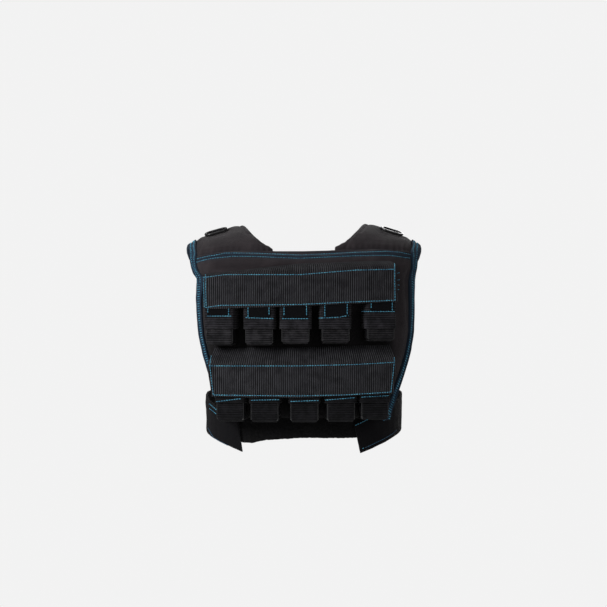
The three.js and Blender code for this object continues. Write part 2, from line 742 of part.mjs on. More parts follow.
// Tab that folds over the ring's far bar, with one end in the ring and its tail sewn to the pad
function ringTab(side, { centre, normal }) {
  const barNear = ringWidth / 2 - ringBar - tabPlay;
  const barFar = ringWidth / 2 + tabPlay;
  const path = [
    { inner: barNear - tabWidth / 2, outer: barNear - tabWidth / 2, over: 0 },
    { inner: barNear, outer: barNear - tabThickness, over: 0 },
    { inner: barNear, outer: barNear - tabThickness, over: 1 },
    { inner: barFar, outer: barFar + tabThickness, over: 1 },
    { inner: barFar, outer: barFar + tabThickness, over: 0 },
    { inner: tabTail, outer: tabTail, over: 0 },
  ];
  const step = 0.02;
  const pace = padSkin(side, ringAcross, ringAlong + step).distanceTo(padSkin(side, ringAcross, ringAlong)) / step;
  const reach = padSkin(side, 1, ringAlong).distanceTo(padSkin(side, 0, ringAlong));
  return wall([-0.5, 0, 0.5], path.map((_, i) => i), (u, v, face) => {
    const { inner, outer, over } = path[v];
    const along = ringAlong + (face ? outer : inner) / pace;
    const across = ringAcross + u * tabWidth / reach;
    const base = padSkin(side, across, along);
    const toRing = centre.clone().sub(base).dot(normal) + ringLift + ringThickness;
    return base.addScaledVector(normal, over * toRing + tabPlay + (face ? tabThickness : 0));
  });
}

function ringFrame(side) {
  const centre = padSkin(side, ringAcross, ringAlong);
  const normal = padNormal(side, ringAcross, ringAlong);
  const along = padSkin(side, ringAcross + 0.15, ringAlong).sub(padSkin(side, ringAcross - 0.15, ringAlong));
  along.multiplyScalar(side).normalize();
  const forward = new THREE.Vector3().crossVectors(normal, along).normalize();
  along.crossVectors(forward, normal).normalize();
  return { centre, normal, along, forward };
}

for (const [name, side] of [['left', -1], ['right', 1]]) {
  const frame = ringFrame(side);
  const { centre, normal, along, forward } = frame;
  const seat = new THREE.Group();
  seat.position.copy(centre).addScaledVector(normal, ringLift);
  seat.quaternion.setFromRotationMatrix(new THREE.Matrix4().makeBasis(along, forward, normal));
  vest.add(seat);
  add(`shoulder_ring_${name}`, ovalRing(), plastic(), seat);
  add(`ring_tab_${name}`, ringTab(side, frame), webbing());
}

export default vest;
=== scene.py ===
import json
import math

import bmesh
import bpy
from mathutils import Matrix, Vector, noise
from mathutils.bvhtree import BVHTree

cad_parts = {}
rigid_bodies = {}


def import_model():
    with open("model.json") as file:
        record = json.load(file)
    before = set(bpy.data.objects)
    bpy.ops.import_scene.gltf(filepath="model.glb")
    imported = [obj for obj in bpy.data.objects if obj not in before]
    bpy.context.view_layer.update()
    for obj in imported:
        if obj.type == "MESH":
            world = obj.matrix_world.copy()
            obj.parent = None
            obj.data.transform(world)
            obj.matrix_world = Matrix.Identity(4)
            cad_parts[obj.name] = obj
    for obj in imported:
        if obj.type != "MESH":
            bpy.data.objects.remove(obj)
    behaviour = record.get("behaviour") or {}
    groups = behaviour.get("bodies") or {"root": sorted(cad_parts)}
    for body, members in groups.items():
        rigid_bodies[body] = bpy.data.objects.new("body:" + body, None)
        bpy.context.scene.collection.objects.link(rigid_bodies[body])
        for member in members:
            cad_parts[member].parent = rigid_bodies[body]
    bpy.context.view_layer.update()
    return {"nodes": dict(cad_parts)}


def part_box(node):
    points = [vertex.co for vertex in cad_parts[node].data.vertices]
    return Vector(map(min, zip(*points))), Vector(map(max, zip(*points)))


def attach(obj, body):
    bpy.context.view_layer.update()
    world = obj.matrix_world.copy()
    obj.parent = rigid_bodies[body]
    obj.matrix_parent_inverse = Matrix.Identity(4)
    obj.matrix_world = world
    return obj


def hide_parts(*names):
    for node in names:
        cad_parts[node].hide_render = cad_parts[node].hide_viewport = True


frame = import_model()


# Padded panels
# The back and front panels are black woven polyester over thin foam, sewn closed round the edge.
# Each starts as its own solid from the frame, is filled with a little air in its cover, and is held flat
# where webbing is sewn over it.
def alone(*pieces):
    """Selects these pieces and no others, the first one active."""
    bpy.ops.object.select_all(action="DESELECT")
    for piece in pieces:
        piece.select_set(True)
    bpy.context.view_layer.objects.active = pieces[0]


def cut_out(node, name):
    """A copy of a node's mesh with its corners merged and its triangles paired."""
    piece = bpy.data.objects.new(name, frame["nodes"][node].data.copy())
    bpy.context.collection.objects.link(piece)
    piece.data.materials.clear()
    alone(piece)
    bpy.ops.object.mode_set(mode="EDIT")
    bpy.ops.mesh.select_all(action="SELECT")
    bpy.ops.mesh.remove_doubles(threshold=0.00002)
    bpy.ops.mesh.tris_convert_to_quads(face_threshold=math.radians(60), shape_threshold=math.radians(60))
    bpy.ops.object.mode_set(mode="OBJECT")
    return piece


def modify(piece, kind, **settings):
    """Adds a modifier and applies it."""
    modifier = piece.modifiers.new(kind.title(), kind)
    for name, value in settings.items():
        setattr(modifier, name, value)
    alone(piece)
    bpy.ops.object.modifier_apply(modifier=modifier.name)


def round_off(piece, levels):
    modify(piece, "SUBSURF", levels=levels, render_levels=levels)


def shape(piece, rule):
    """Moves every point by what the rule gives for its place and normal."""
    moves = [rule(point.co, point.normal) for point in piece.data.vertices]
    for point, move in zip(piece.data.vertices, moves):
        point.co += move
    piece.data.update()


def smooth(piece, angle=60):
    alone(piece)
    bpy.ops.object.shade_smooth_by_angle(angle=math.radians(angle))


def ease(value, low, high):
    share = min(max((value - low) / (high - low), 0), 1)
    return share * share * (3 - 2 * share)


def ripple(place, across, along, up, seed):
    """Soft noise from -1 to 1 with its own length in each direction, in metres."""
    return noise.noise(Vector((place.x / across + seed, place.y / along - seed, place.z / up + 2 * seed)))


def surface(*pieces):
    """The outside of some pieces, to lay other things on and to measure from."""
    mesh = bmesh.new()
    for piece in pieces:
        mesh.from_mesh(piece.data)
    tree = BVHTree.FromBMesh(mesh)
    mesh.free()
    return tree


ARMHOLES = surface(frame["nodes"]["armhole_binding_left"], frame["nodes"]["armhole_binding_right"])


def off_tape(place):
    """0 where the cover is pulled flat into the armhole tape, and 1 away from it."""
    return ease(ARMHOLES.find_nearest(place)[3], 0.003, 0.020)


COVER_PRESSURE = 4
COVER_STEPS = 20
MOST_SINK = 0.0003


def fill_with_air(piece, give):
    """Swells a closed cover with cloth simulation.

    give(place) is how far it may rise there off its own face.
    """
    rest = [(point.co.copy(), point.normal.copy()) for point in piece.data.vertices]
    cover = piece.modifiers.new("Cover", "CLOTH")
    cover.settings.quality = 5
    cover.settings.mass = 0.2
    cover.settings.use_pressure = True
    cover.settings.uniform_pressure_force = COVER_PRESSURE
    cover.settings.effector_weights.gravity = 0
    cover.collision_settings.use_collision = False
    for frame_number in range(1, COVER_STEPS + 1):
        bpy.context.scene.frame_set(frame_number)
    alone(piece)
    bpy.ops.object.modifier_apply(modifier="Cover")
    bpy.context.scene.frame_set(1)
    for point, (start, normal) in zip(piece.data.vertices, rest):
        most = give(start) * off_tape(start)
        rise = (point.co - start).dot(normal)
        point.co = start + normal * min(max(rise, -MOST_SINK), most)
    piece.data.update()


def sew_panel(node, give, rule):
    panel = cut_out(node, node + "_cloth")
    modify(panel, "SUBSURF", levels=2, render_levels=2, subdivision_type="SIMPLE")
    fill_with_air(panel, give)
    round_off(panel, 1)
    shape(panel, rule)
    smooth(panel, 180)
    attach(panel, "root")
    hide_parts(node)
    return panel


def millimetres(*points):
    """Points across and up, typed in millimetres."""
    return [(x / 1000, z / 1000) for x, z in points]


def height_at(line, x):
    """Height of a line of points at one place across."""
    if x <= line[0][0]:
        return line[0][1]
    for (x0, z0), (x1, z1) in zip(line, line[1:]):
        if x <= x1:
            return z0 + (z1 - z0) * (x - x0) / (x1 - x0)
    return line[-1][1]


YOKE_ROWS = [
    millimetres((-179.8, -37.9), (-161.7, -33.8), (-141.9, -30.5), (-130.3, -28.0), (-80.8, -28.5),
                (-6.6, -31.7), (84.1, -27.1), (133.7, -25.2), (158.4, -26.4), (179.8, -30.9)),
    millimetres((-178.2, -42.9), (-155.1, -37.1), (-117.1, -33.5), (-80.8, -33.8), (-6.6, -37.0),
                (84.1, -32.7), (141.9, -31.8), (176.5, -36.3)),
]
POCKETS_MIDDLE = -0.008
SEWN_RISE = 0.0004
OPEN_RISE = 0.0030
SEAM_DEPTH = 0.0011
SEAM_WIDTH = 0.0022
YOKE_PUCKERS = 600  # radians a metre


def back_give(place):
    under_webbing = ease(-place.z, 0.044, 0.056) * ease(0.150 - abs(place.x - POCKETS_MIDDLE), 0.0, 0.012)
    return SEWN_RISE + OPEN_RISE * (1 - under_webbing)


def back_folds(place, normal):
    if normal.y > -0.2:
        return Vector()
    deep = 0
    for row in YOKE_ROWS:
        away = place.z - height_at(row, place.x)
        deep -= SEAM_DEPTH * math.exp(-(away / SEAM_WIDTH) ** 2)
    open_cloth = back_give(place) / (SEWN_RISE + OPEN_RISE)
    folds = 0.0012 * ripple(place, 0.045, 0.05, 0.018, 3.1) + 0.0006 * ripple(place, 0.014, 0.03, 0.010, 7.7)
    from_seam = abs(place.z - height_at(YOKE_ROWS[1], place.x))
    pull = 0.0007 * math.sin(place.x * YOKE_PUCKERS) * math.exp(-from_seam / 0.006)
    return normal * (deep + open_cloth * (folds + pull)) * off_tape(place)


def front_give(place):
    return OPEN_RISE


def front_folds(place, normal):
    if normal.y < 0.2:
        return Vector()
    folds = 0.0016 * ripple(place, 0.06, 0.06, 0.04, 1.9) + 0.0006 * ripple(place, 0.02, 0.03, 0.016, 5.3)
    return normal * folds


back_cloth = sew_panel("back_panel", back_give, back_folds)
front_cloth = sew_panel("front_panel", front_give, front_folds)


# The woven cover
# Plain woven polyester, dull black with a faint warm cast. Threads cross over and under, and the face is a
# little dusty and uneven where it has been handled.
class Number:
    """A value in a shader that can be written in sums."""

    def __init__(self, finish, socket):
        self.finish = finish
        self.socket = socket

    def work(self, operation, *others):
        return self.finish.node("ShaderNodeMath", {"operation": operation}, dict(enumerate((self, *others))))

    def __add__(self, other):
        return self.work("ADD", other)

    def __mul__(self, other):
        return self.work("MULTIPLY", other)

    def __pow__(self, other):
        return self.work("POWER", other)

    def __rsub__(self, other):
        return self * -1 + other

    __radd__ = __add__

    def wave(self, length):
        """From 0 to 1 and back over each length, in metres."""
        return (self * (2 * math.pi / length)).work("SINE") * 0.5 + 0.5

    def between(self, low, high):
        return self.finish.node("ShaderNodeMapRange", {"interpolation_type": "SMOOTHSTEP"},
                                {"Value": self, "From Min": low, "From Max": high})


class Finish:
    """A material whose nodes are added as its maths is written."""

    def __init__(self, name, sheen=0.0, coat=0.0, gloss=0.5):
        self.material = bpy.data.materials.new(name)
        self.material.use_nodes = True
        self.tree = self.material.node_tree
        self.shader = self.tree.nodes["Principled BSDF"]
        self.shader.inputs["Sheen Weight"].default_value = sheen
        self.shader.inputs["Sheen Roughness"].default_value = 0.5
        self.shader.inputs["Coat Weight"].default_value = coat
        self.shader.inputs["Specular IOR Level"].default_value = gloss
        place = self.node("ShaderNodeTexCoord", out="Object")
        split = self.node("ShaderNodeSeparateXYZ", {}, {"Vector": place}).socket.node
        self.place = place
        self.x, self.y, self.z = (Number(self, socket) for socket in split.outputs)

    def node(self, kind, settings=None, values=None, out=0):
        node = self.tree.nodes.new(kind)
        for name, value in (settings or {}).items():
            setattr(node, name, value)
        for name, value in (values or {}).items():
            self.set(node.inputs[name], value)
        return Number(self, node.outputs[out])

    def set(self, socket, value):
        if isinstance(value, Number):
            self.tree.links.new(value.socket, socket)
        else:
            socket.default_value = value

    def speckle(self, size, detail=2.0):
        return self.node("ShaderNodeTexNoise", {},
                         {"Vector": self.place, "Scale": 1 / size, "Detail": detail, "Roughness": 0.6})

    def mix(self, share, one, other):
        return self.node("ShaderNodeMix", {"data_type": "RGBA"}, {0: share, 6: one, 7: other}, out=2)

    def along(self, name):
        """A length marked on the piece's own points."""
        return self.node("ShaderNodeAttribute", {"attribute_name": name}, out="Fac")

    def show(self, colour, roughness, relief, depth, strength=1.0):
        self.set(self.shader.inputs["Base Color"], colour)
        self.set(self.shader.inputs["Roughness"], roughness)
        bump = self.node("ShaderNodeBump", {}, {"Height": relief, "Distance": depth, "Strength": strength})
        self.set(self.shader.inputs["Normal"], bump)


def dress(piece, finish):
    piece.data.materials.clear()
    piece.data.materials.append(finish.material)


def woven_cover():
    cover = Finish("woven_polyester", sheen=0.12, gloss=0.2)
    warp = (cover.x + cover.y * 0.9).wave(0.0016)
    weft = (cover.z + cover.y * 0.4).wave(0.0016)
    weave = warp * weft + (1 - warp) * (1 - weft)
    lint = cover.speckle(0.0025, 4.0)
    dust = cover.speckle(0.035, 3.0).between(0.40, 0.75)
    cloth = cover.mix(weave, (0.013, 0.010, 0.012, 1), (0.034, 0.027, 0.031, 1))
    cloth = cover.mix(dust * 0.5, cloth, (0.052, 0.043, 0.047, 1))
    cloth = cover.mix(lint.between(0.60, 0.78) * 0.35, cloth, (0.085, 0.076, 0.082, 1))
    cloth = cover.mix(cover.along("near_seam") * 0.75, cloth, (0.004, 0.018, 0.036, 1))
    # Painted shade: the cloth below the upper pockets, where the blocks shade it, is darkened nearly to
    # black.
    cloth = cover.mix(cover.along("painted_shade_under_pockets") * 0.85, cloth, (0.0015, 0.0015, 0.002, 1))
    cover.show(cloth, 0.82 + dust * 0.1, weave * 0.6 + lint * 0.5, 0.0005)
    return cover


polyester = woven_cover()
dress(back_cloth, polyester)
dress(front_cloth, polyester)


def mark(piece, name, rule):
    """Writes a number on each point of a piece, for its finish to read."""
    layer = piece.data.attributes.new(name, "FLOAT", "POINT")
    layer.data.foreach_set("value", [rule(point.co) for point in piece.data.vertices])


def near_yoke(place):
    if place.y > 0:
        return 0
    middle = (height_at(YOKE_ROWS[0], place.x) + height_at(YOKE_ROWS[1], place.x)) / 2
    return math.exp(-((place.z - middle) / 0.0042) ** 2)


# Where the blocks shade the panel below the upper row, as a share for the painted shade in its colour.
def painted_shade_under_pockets(place):
    low = ease(-place.z, 0.110, 0.130)
    inside = ease(0.160 - abs(place.x - POCKETS_MIDDLE), 0.0, 0.010)
    return low * inside * ease(-place.y, 0.04, 0.06)


mark(back_cloth, "near_seam", near_yoke)
mark(back_cloth, "painted_shade_under_pockets", painted_shade_under_pockets)


# Shoulder pads
# Thicker padded pieces of the same cloth, sewn in behind the top edge of the back panel and to the front
# panel. The cover is gathered into small upright puckers above the yoke stitches, and its neck edge is
# hemmed.
PAD_PUCKERS = 620  # radians a metre
HEM_FROM_NECK = 0.0085
REAR_TUCK = Vector((0, 0.0004, -0.0045))


def pad_folds(neck):
    def rule(place, normal):
        seam = height_at(YOKE_ROWS[0], place.x)
        above = max(place.z - seam, 0)
        rear = ease(-place.y, 0.03, 0.06)
        wander = 3 * ripple(place, 0.03, 0.03, 0.03, 4.4)
        pucker = math.sin(place.x * PAD_PUCKERS + wander) * math.exp(-above / 0.012)
        wide = 0.0013 * ripple(place, 0.035, 0.05, 0.024, 8.2)
        folds = wide + 0.0005 * ripple(place, 0.012, 0.02, 0.012, 2.6)
        from_neck = neck.find_nearest(place)[3]
        hem = 0.0010 * math.exp(-((from_neck - HEM_FROM_NECK) / 0.0016) ** 2)
        tuck = REAR_TUCK * rear * (1 - ease(place.z - seam, 0.002, 0.012))
        folds *= ease(from_neck, 0.004, 0.012)
        return tuck + normal * (0.0009 * rear * pucker + folds - hem) * off_tape(place)

    return rule


def neck_edge(pad):
    """The narrow faces along a pad's neck edge, to measure from."""
    faces = [face.vertices[:] for face in pad.data.polygons
             if abs(face.center.x) < 0.1 and face.normal.x * face.center.x < -0.5 * abs(face.center.x)]
    return BVHTree.FromPolygons([point.co for point in pad.data.vertices], faces)


for side in ("left", "right"):
    pad = cut_out("shoulder_pad_" + side, "shoulder_pad_cloth_" + side)
    neck = neck_edge(pad)
    low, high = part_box("shoulder_ring_" + side)
    ring_seat = (low + high) / 2
    modify(pad, "SUBSURF", levels=2, render_levels=2, subdivision_type="SIMPLE")
    fill_with_air(pad, lambda place: 0.0008 + 0.0040 * ease((place - ring_seat).length, 0.020, 0.045))
    round_off(pad, 1)
    shape(pad, pad_folds(neck))
    mark(pad, "near_seam", near_yoke)
    smooth(pad, 180)
    dress(pad, polyester)
    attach(pad, "root")
    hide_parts("shoulder_pad_" + side)


# Blue sewing thread
# Bonded polyester thread in pale cyan blue, sewn with a long straight stitch. Each stitch is a short plump
# length that dips into the cloth at both ends.
THREAD_SIZE = 0.0044
PROUD_OF_CLOTH = 0.0003


def one_stitch():
    bpy.ops.object.select_all(action="DESELECT")
    bpy.ops.mesh.primitive_uv_sphere_add(segments=8, ring_count=6, radius=0.5, rotation=(0, math.pi / 2, 0))
    stitch = bpy.context.object
    bpy.ops.object.transform_apply(rotation=True)
    bpy.ops.object.mode_set(mode="EDIT")
    bpy.ops.mesh.select_all(action="SELECT")
    bpy.ops.transform.resize(value=(1, 0.30, 0.26))
    bpy.ops.object.mode_set(mode="OBJECT")
    shape(stitch, lambda place, normal: Vector((0, 0, -0.5 * place.x * place.x)))
    return stitch


def thread_of(name, dark, light):
    thread = Finish(name, sheen=0.2, gloss=0.4)
    ply = (thread.x + thread.y + thread.z).wave(0.0009)
    shade = thread.speckle(0.011, 3.0)
    blue = thread.mix(shade.between(0.25, 0.75), dark, light)
    thread.show(blue, 0.55 + shade * 0.1, ply, 0.0002)
    return thread


def walk(points, pace):
    """Evenly spaced places along a line through the points, with the direction at each."""
    steps = []
    travelled, due = 0, pace / 2
    for one, other in zip(points, points[1:]):
        length = (other - one).length
        while length and due <= travelled + length:
            steps.append((one.lerp(other, (due - travelled) / length), (other - one) / length))
            due += pace
        travelled += length
    return steps


def behind(tree, line):
    """Lays a line of points, given across and up, on what is met first from behind."""
    laid = []
    for (x0, z0), (x1, z1) in zip(line, line[1:]):
        count = max(2, int(math.hypot(x1 - x0, z1 - z0) / 0.004))
        for i in range(count + 1):
            share = i / count
            x, z = x0 + (x1 - x0) * share, z0 + (z1 - z0) * share
            hit = tree.ray_cast(Vector((x, -1, z)), Vector((0, 1, 0)))[0]
            if hit and (not laid or (hit - laid[-1]).length > 0.0004):
                laid.append(hit)
    return laid


stitch = one_stitch()
pale_thread = thread_of("pale_blue_thread", (0.016, 0.155, 0.29, 1), (0.14, 0.56, 0.78, 1))
deep_thread = thread_of("deep_blue_thread", (0.008, 0.060, 0.130, 1), (0.03, 0.14, 0.26, 1))


def sew(name, tree, lines, pitch=0.0043, length=0.0038, crosswise=False, finish=None):
    """Sews stitches of one length along lines that lie on a surface, or across them, as one piece."""
    seam = bmesh.new()
    for line in lines:
        for place, ahead in walk(line, pitch):
            found, normal = tree.find_nearest(place)[:2]
            if found is None:
                continue
            across = normal.cross(ahead).normalized()
            ahead = across.cross(normal).normalized()
            if crosswise:
                ahead, across = across, -ahead
            turn = Matrix((ahead, across, normal)).transposed()
            one = stitch.data.copy()
            size = Matrix.Diagonal((length, THREAD_SIZE, THREAD_SIZE, 1))
            seat = Matrix.Translation(found + normal * PROUD_OF_CLOTH)
            one.transform(seat @ turn.to_4x4() @ size)
            seam.from_mesh(one)
            bpy.data.meshes.remove(one)
    piece = bpy.data.objects.new(name, bpy.data.meshes.new(name))
    seam.to_mesh(piece.data)
    seam.free()
    bpy.context.collection.objects.link(piece)
    smooth(piece, 180)
    dress(piece, finish or pale_thread)
    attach(piece, "root")
    return piece


back_skin = surface(back_cloth)
sew("yoke_stitches", back_skin, [behind(back_skin, row) for row in YOKE_ROWS], length=0.0032)


# Armhole binding
# A folded tape of tightly woven navy and black yarn, sewn over the raw edge of the panels and pads along
# each armhole, with two rows of short blue stitches that lie across it.
TAPE_LAP = 0.0055
STITCH_ROWS = (-0.0092, 0.0014)
ROWS_HEIGHT = 0.006
ARM_MIDDLE = 0.12


def tape_finish():
    tape = Finish("binding_tape", sheen=0.1, gloss=0.2)
    rib = (tape.z + tape.x * 0.7 + tape.y * 0.7).wave(0.0017)
    fuzz = tape.speckle(0.002, 3.0)
    wear = tape.speckle(0.02, 3.0).between(0.45, 0.7)
    navy = tape.mix(rib, (0.006, 0.015, 0.030, 1), (0.016, 0.042, 0.078, 1))
    navy = tape.mix(wear * 0.4, navy, (0.030, 0.062, 0.100, 1))
    tape.show(navy, 0.75 + fuzz * 0.15, rib + fuzz * 0.5, 0.0004)
    return tape


def sections_of(mesh, start):
    """The points of a strip's cross sections in order, found by stepping from its first one."""
    links = {point.index: set() for point in mesh.vertices}
    for edge in mesh.edges:
        one, other = edge.vertices
        links[one].add(other)
        links[other].add(one)
    sections, seen, front = [], set(start), set(start)
    while front:
        sections.append([mesh.vertices[i] for i in front])
        front = {other for one in front for other in links[one]} - seen
        seen |= front
    return sections


def fold_over(tape, lap, rise, lift, flare):
    """Laps a tape over the panel beside it, and gives the lines along its outside where it is stitched."""
    low = min(point.co.z for point in tape.data.vertices if point.co.y < 0)
    first = [point.index for point in tape.data.vertices if point.co.y < 0 and point.co.z < low + 0.0005]
    sections = sections_of(tape.data, first)
    middles = [sum((point.co for point in section), Vector()) / len(section) for section in sections]
    rows = ([], [])
    for i, section in enumerate(sections):
        middle = middles[i]
        run = (middles[min(i + 1, len(middles) - 1)] - middles[max(i - 1, 0)]).normalized()
        far = max((point.co - middle for point in section), key=lambda offset: offset.length)
        places = [point.co.copy() for point in section]
        places.sort(key=lambda place: (place - middle).dot(far))
        across = (places[-1] + places[-2] - places[0] - places[1]).normalized()
        if across.x * middle.x < 0:
            across.negate()
        outside = run.cross(across).normalized()
        if outside.dot(Vector((middle.x, middle.y, middle.z + ARM_MIDDLE))) < 0:
            outside.negate()
        for point in section:
            reach, height = (point.co - middle).dot(across), (point.co - middle).dot(outside)
            point.co += outside * (lift if height > 0 else -lift)
            point.co += outside * flare * ease(reach, -0.004, 0.004)
            if reach < -0.002:
                point.co += outside * rise * (1 if height > 0 else -0.3) - across * lap
        for row, place in zip(rows, STITCH_ROWS):
            row.append(middle + across * place + outside * ROWS_HEIGHT)
    return rows


binding_tape = tape_finish()
for side in ("left", "right"):
    tape = cut_out("armhole_binding_" + side, "binding_" + side)
    rows = fold_over(tape, lap=TAPE_LAP, rise=0.0022, lift=0.0006, flare=0.0032)
    modify(tape, "SUBSURF", levels=2, render_levels=2, subdivision_type="SIMPLE")
    round_off(tape, 1)
    shape(tape, lambda place, normal: normal * 0.0003 * (1 + ripple(place, 0.012, 0.012, 0.012, 6.1)))
    smooth(tape, 180)
    dress(tape, binding_tape)
    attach(tape, "root")
    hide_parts("armhole_binding_" + side)
    tape_skin = surface(tape)
    on_tape = [[tape_skin.find_nearest(place)[0] for place in row] for row in rows]
    stitches = sew("binding_stitches_" + side, tape_skin, on_tape, pitch=0.0040, length=0.0033,
                   crosswise=True)
    "armhole_binding_" + side


# Iron blocks
# Cast bars with broken corners under a thick black coating, satin with fine casting grain, that stand in the
# pockets.
def iron_coating():
    iron = Finish("coated_iron", coat=0.8, gloss=0.6)
    grain = iron.speckle(0.0012, 3.0)
    dents = iron.speckle(0.006, 2.0)
    black = iron.mix(grain, (0.006, 0.006, 0.007, 1), (0.020, 0.020, 0.022, 1))
    iron.show(black, 0.22 + grain * 0.16, grain * 0.5 + dents, 0.0004)
    return iron


block_coating = iron_coating()
for row in ("upper", "lower"):
    for number in range(1, 6):
        block = cut_out(f"{row}_weight_{number}", f"{row}_block_{number}")
        modify(block, "BEVEL", width=0.0009, segments=3, limit_method="ANGLE", angle_limit=math.radians(20))
        smooth(block, 50)
        dress(block, block_coating)
        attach(block, "root")
        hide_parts(f"{row}_weight_{number}")


# Pocket straps and sleeves
# Each block stands in a loop of cross-ribbed webbing. A wider webbing sleeve, sewn to the panel, goes round
# its upper part.
ROW_FAN = math.radians(17)
FAN_REACH = 0.75 * 0.186
ROW_TURN = ROW_FAN / FAN_REACH
BLOCK_OUT = 0.0149
PASSES = 6
RIB_PITCH = 0.0038


def pocket_spot(row, number):
    """Middle of a pocket's block, with the directions across it and out from the panel."""
    low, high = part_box(f"{row}_weight_{number}")
    middle = (low + high) / 2
    x = middle.x
    for _ in range(PASSES):
        x = middle.x - math.sin(ROW_TURN * x) * BLOCK_OUT
    angle = ROW_TURN * x
    across = Vector((math.cos(angle), math.sin(angle), 0))
    return middle, across, Vector((math.sin(angle), -math.cos(angle), 0))


def keep_rims(piece, angle, share):
    """Creases the sharp edges, so that rounding off leaves them in place."""
    mesh = bmesh.new()
    mesh.from_mesh(piece.data)
    layer = mesh.edges.layers.float.get("crease_edge") or mesh.edges.layers.float.new("crease_edge")
    for edge in mesh.edges:
        if len(edge.link_faces) == 2 and edge.calc_face_angle() > math.radians(angle):
            edge[layer] = share
    mesh.to_mesh(piece.data)
    mesh.free()


def web(node, name, simple=2):
    """A strip of webbing: a close, slightly rounded copy of its solid."""
    piece = cut_out(node, name)
    modify(piece, "SUBSURF", levels=simple, render_levels=simple, subdivision_type="SIMPLE")
    keep_rims(piece, 65, 0.7)
    round_off(piece, 1)
    return piece


def ribbed_strap(name, dark, light):
    strap = Finish(name, sheen=0.05, gloss=0.12)
    wander = strap.speckle(0.012, 2.0) * 0.0012
    rib = (strap.along("along") + wander).wave(RIB_PITCH)
    yarn = strap.along("across").wave(0.0011)
    fuzz = strap.speckle(0.0018, 3.0)
    wear = strap.speckle(0.018, 3.0).between(0.42, 0.70)
    uneven = strap.speckle(0.009, 2.0).between(0.25, 0.7)
    # The rib colour runs from near black in the grooves to grey on the crests. It is partly painted shade in
    # the grooves, on top of the bump.
    colour = strap.mix(rib.between(0.1, 0.9) * (0.35 + uneven * 0.65), dark, light)
    colour = strap.mix(wear * 0.35, colour, tuple(1.7 * part for part in light[:3]) + (1,))
    strap.show(colour, 0.68 + fuzz * 0.2, rib + yarn * 0.18 + fuzz * 0.25, 0.0011)
    return strap


strap_webbing = ribbed_strap("strap_webbing", (0.003, 0.003, 0.004, 1), (0.036, 0.034, 0.038, 1))
sleeve_webbing = ribbed_strap("sleeve_webbing", (0.004, 0.004, 0.005, 1), (0.034, 0.032, 0.038, 1))
# Painted shade: a darker copy of the same webbing for the lower row, standing in for the lesser light low on
# the back.
lower_row_shaded_webbing = ribbed_strap("lower_row_shaded_webbing", (0.001, 0.001, 0.0015, 1), (0.012, 0.0115, 0.014, 1))

for row in ("upper", "lower"):
    for number in range(1, 6):
        middle, across, outward = pocket_spot(row, number)

        def slack(place, normal):
            out = (place - middle).dot(outward)
            wave = 0.0005 * ripple(place, 0.02, 0.05, 0.006, number + 0.3)
            return normal * wave * ease(out, 0.004, 0.012)

        strap = web(f"{row}_strap_{number}", f"{row}_block_strap_{number}")
        sleeve = web(f"{row}_sleeve_{number}", f"{row}_block_sleeve_{number}")
        mark(strap, "along", lambda place: place.z + (place - middle).dot(outward))
        mark(sleeve, "along", lambda place: place.z)
        # The lower row takes the darker copy, which is painted shade.
        dark = row == "lower"
        for piece, finish, slot in ((strap, lower_row_shaded_webbing if dark else strap_webbing, "strap_webbing"),
                                    (sleeve, lower_row_shaded_webbing if dark else sleeve_webbing, "sleeve_webbing")):
            mark(piece, "across", lambda place: (place - middle).dot(across))
            shape(piece, slack)
            smooth(piece, 50)
            dress(piece, finish)
            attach(piece, "root")
        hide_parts(f"{row}_strap_{number}")
        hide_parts(f"{row}_sleeve_{number}")


# Webbing flaps
# Two wide bands of ribbed webbing, sewn to the panel above each row of pockets. Each slopes out over the
# blocks and hangs down over their tops, edged with blue stitches.
WEAR_SCALE = 22.0


def flap_finish():
    flap = Finish("ribbed_webbing", sheen=0.03, gloss=0.05)
    wander = flap.speckle(0.03, 2.0) * 0.0012
    rib = (flap.along("across") + wander).wave(0.0033)
    yarn = flap.z.wave(0.0012)
    fuzz = flap.speckle(0.0018, 3.0)
    patches = flap.node("ShaderNodeTexNoise", {}, {"Vector": flap.place, "Scale": WEAR_SCALE, "Detail": 3.0})
    wear = patches.between(0.4, 0.7)
    uneven = flap.speckle(0.014, 2.0).between(0.25, 0.7)
    # The rib colour runs from near black in the grooves to grey on the crests. It is partly painted shade in
    # the grooves, on top of the bump.
    rib_crest_and_groove_shade = rib.between(0.15, 0.85) * (0.4 + uneven * 0.6)
    colour = flap.mix(rib_crest_and_groove_shade, (0.007, 0.007, 0.008, 1), (0.070, 0.070, 0.078, 1))
    colour = flap.mix(wear * 0.3, colour, (0.042, 0.042, 0.047, 1))
    flap.show(colour, 0.68 + fuzz * 0.2, rib + yarn * 0.2 + fuzz * 0.25, 0.0011)
    return flap


def row_place(row):
    """Gives the length along a row, and how far out, for a point of its flap."""
    middle = pocket_spot(row, 3)[0]
    spine = middle.y + BLOCK_OUT + math.log(math.cos(ROW_TURN * middle.x)) / ROW_TURN

    def where(place):
        x = place.x
        for _ in range(PASSES):
            angle = ROW_TURN * x
            out = (spine - math.log(math.cos(angle)) / ROW_TURN - place.y) / math.cos(angle)
            x = place.x - math.sin(angle) * out
        return math.asinh(math.tan(ROW_TURN * x)) / ROW_TURN, out

    return where


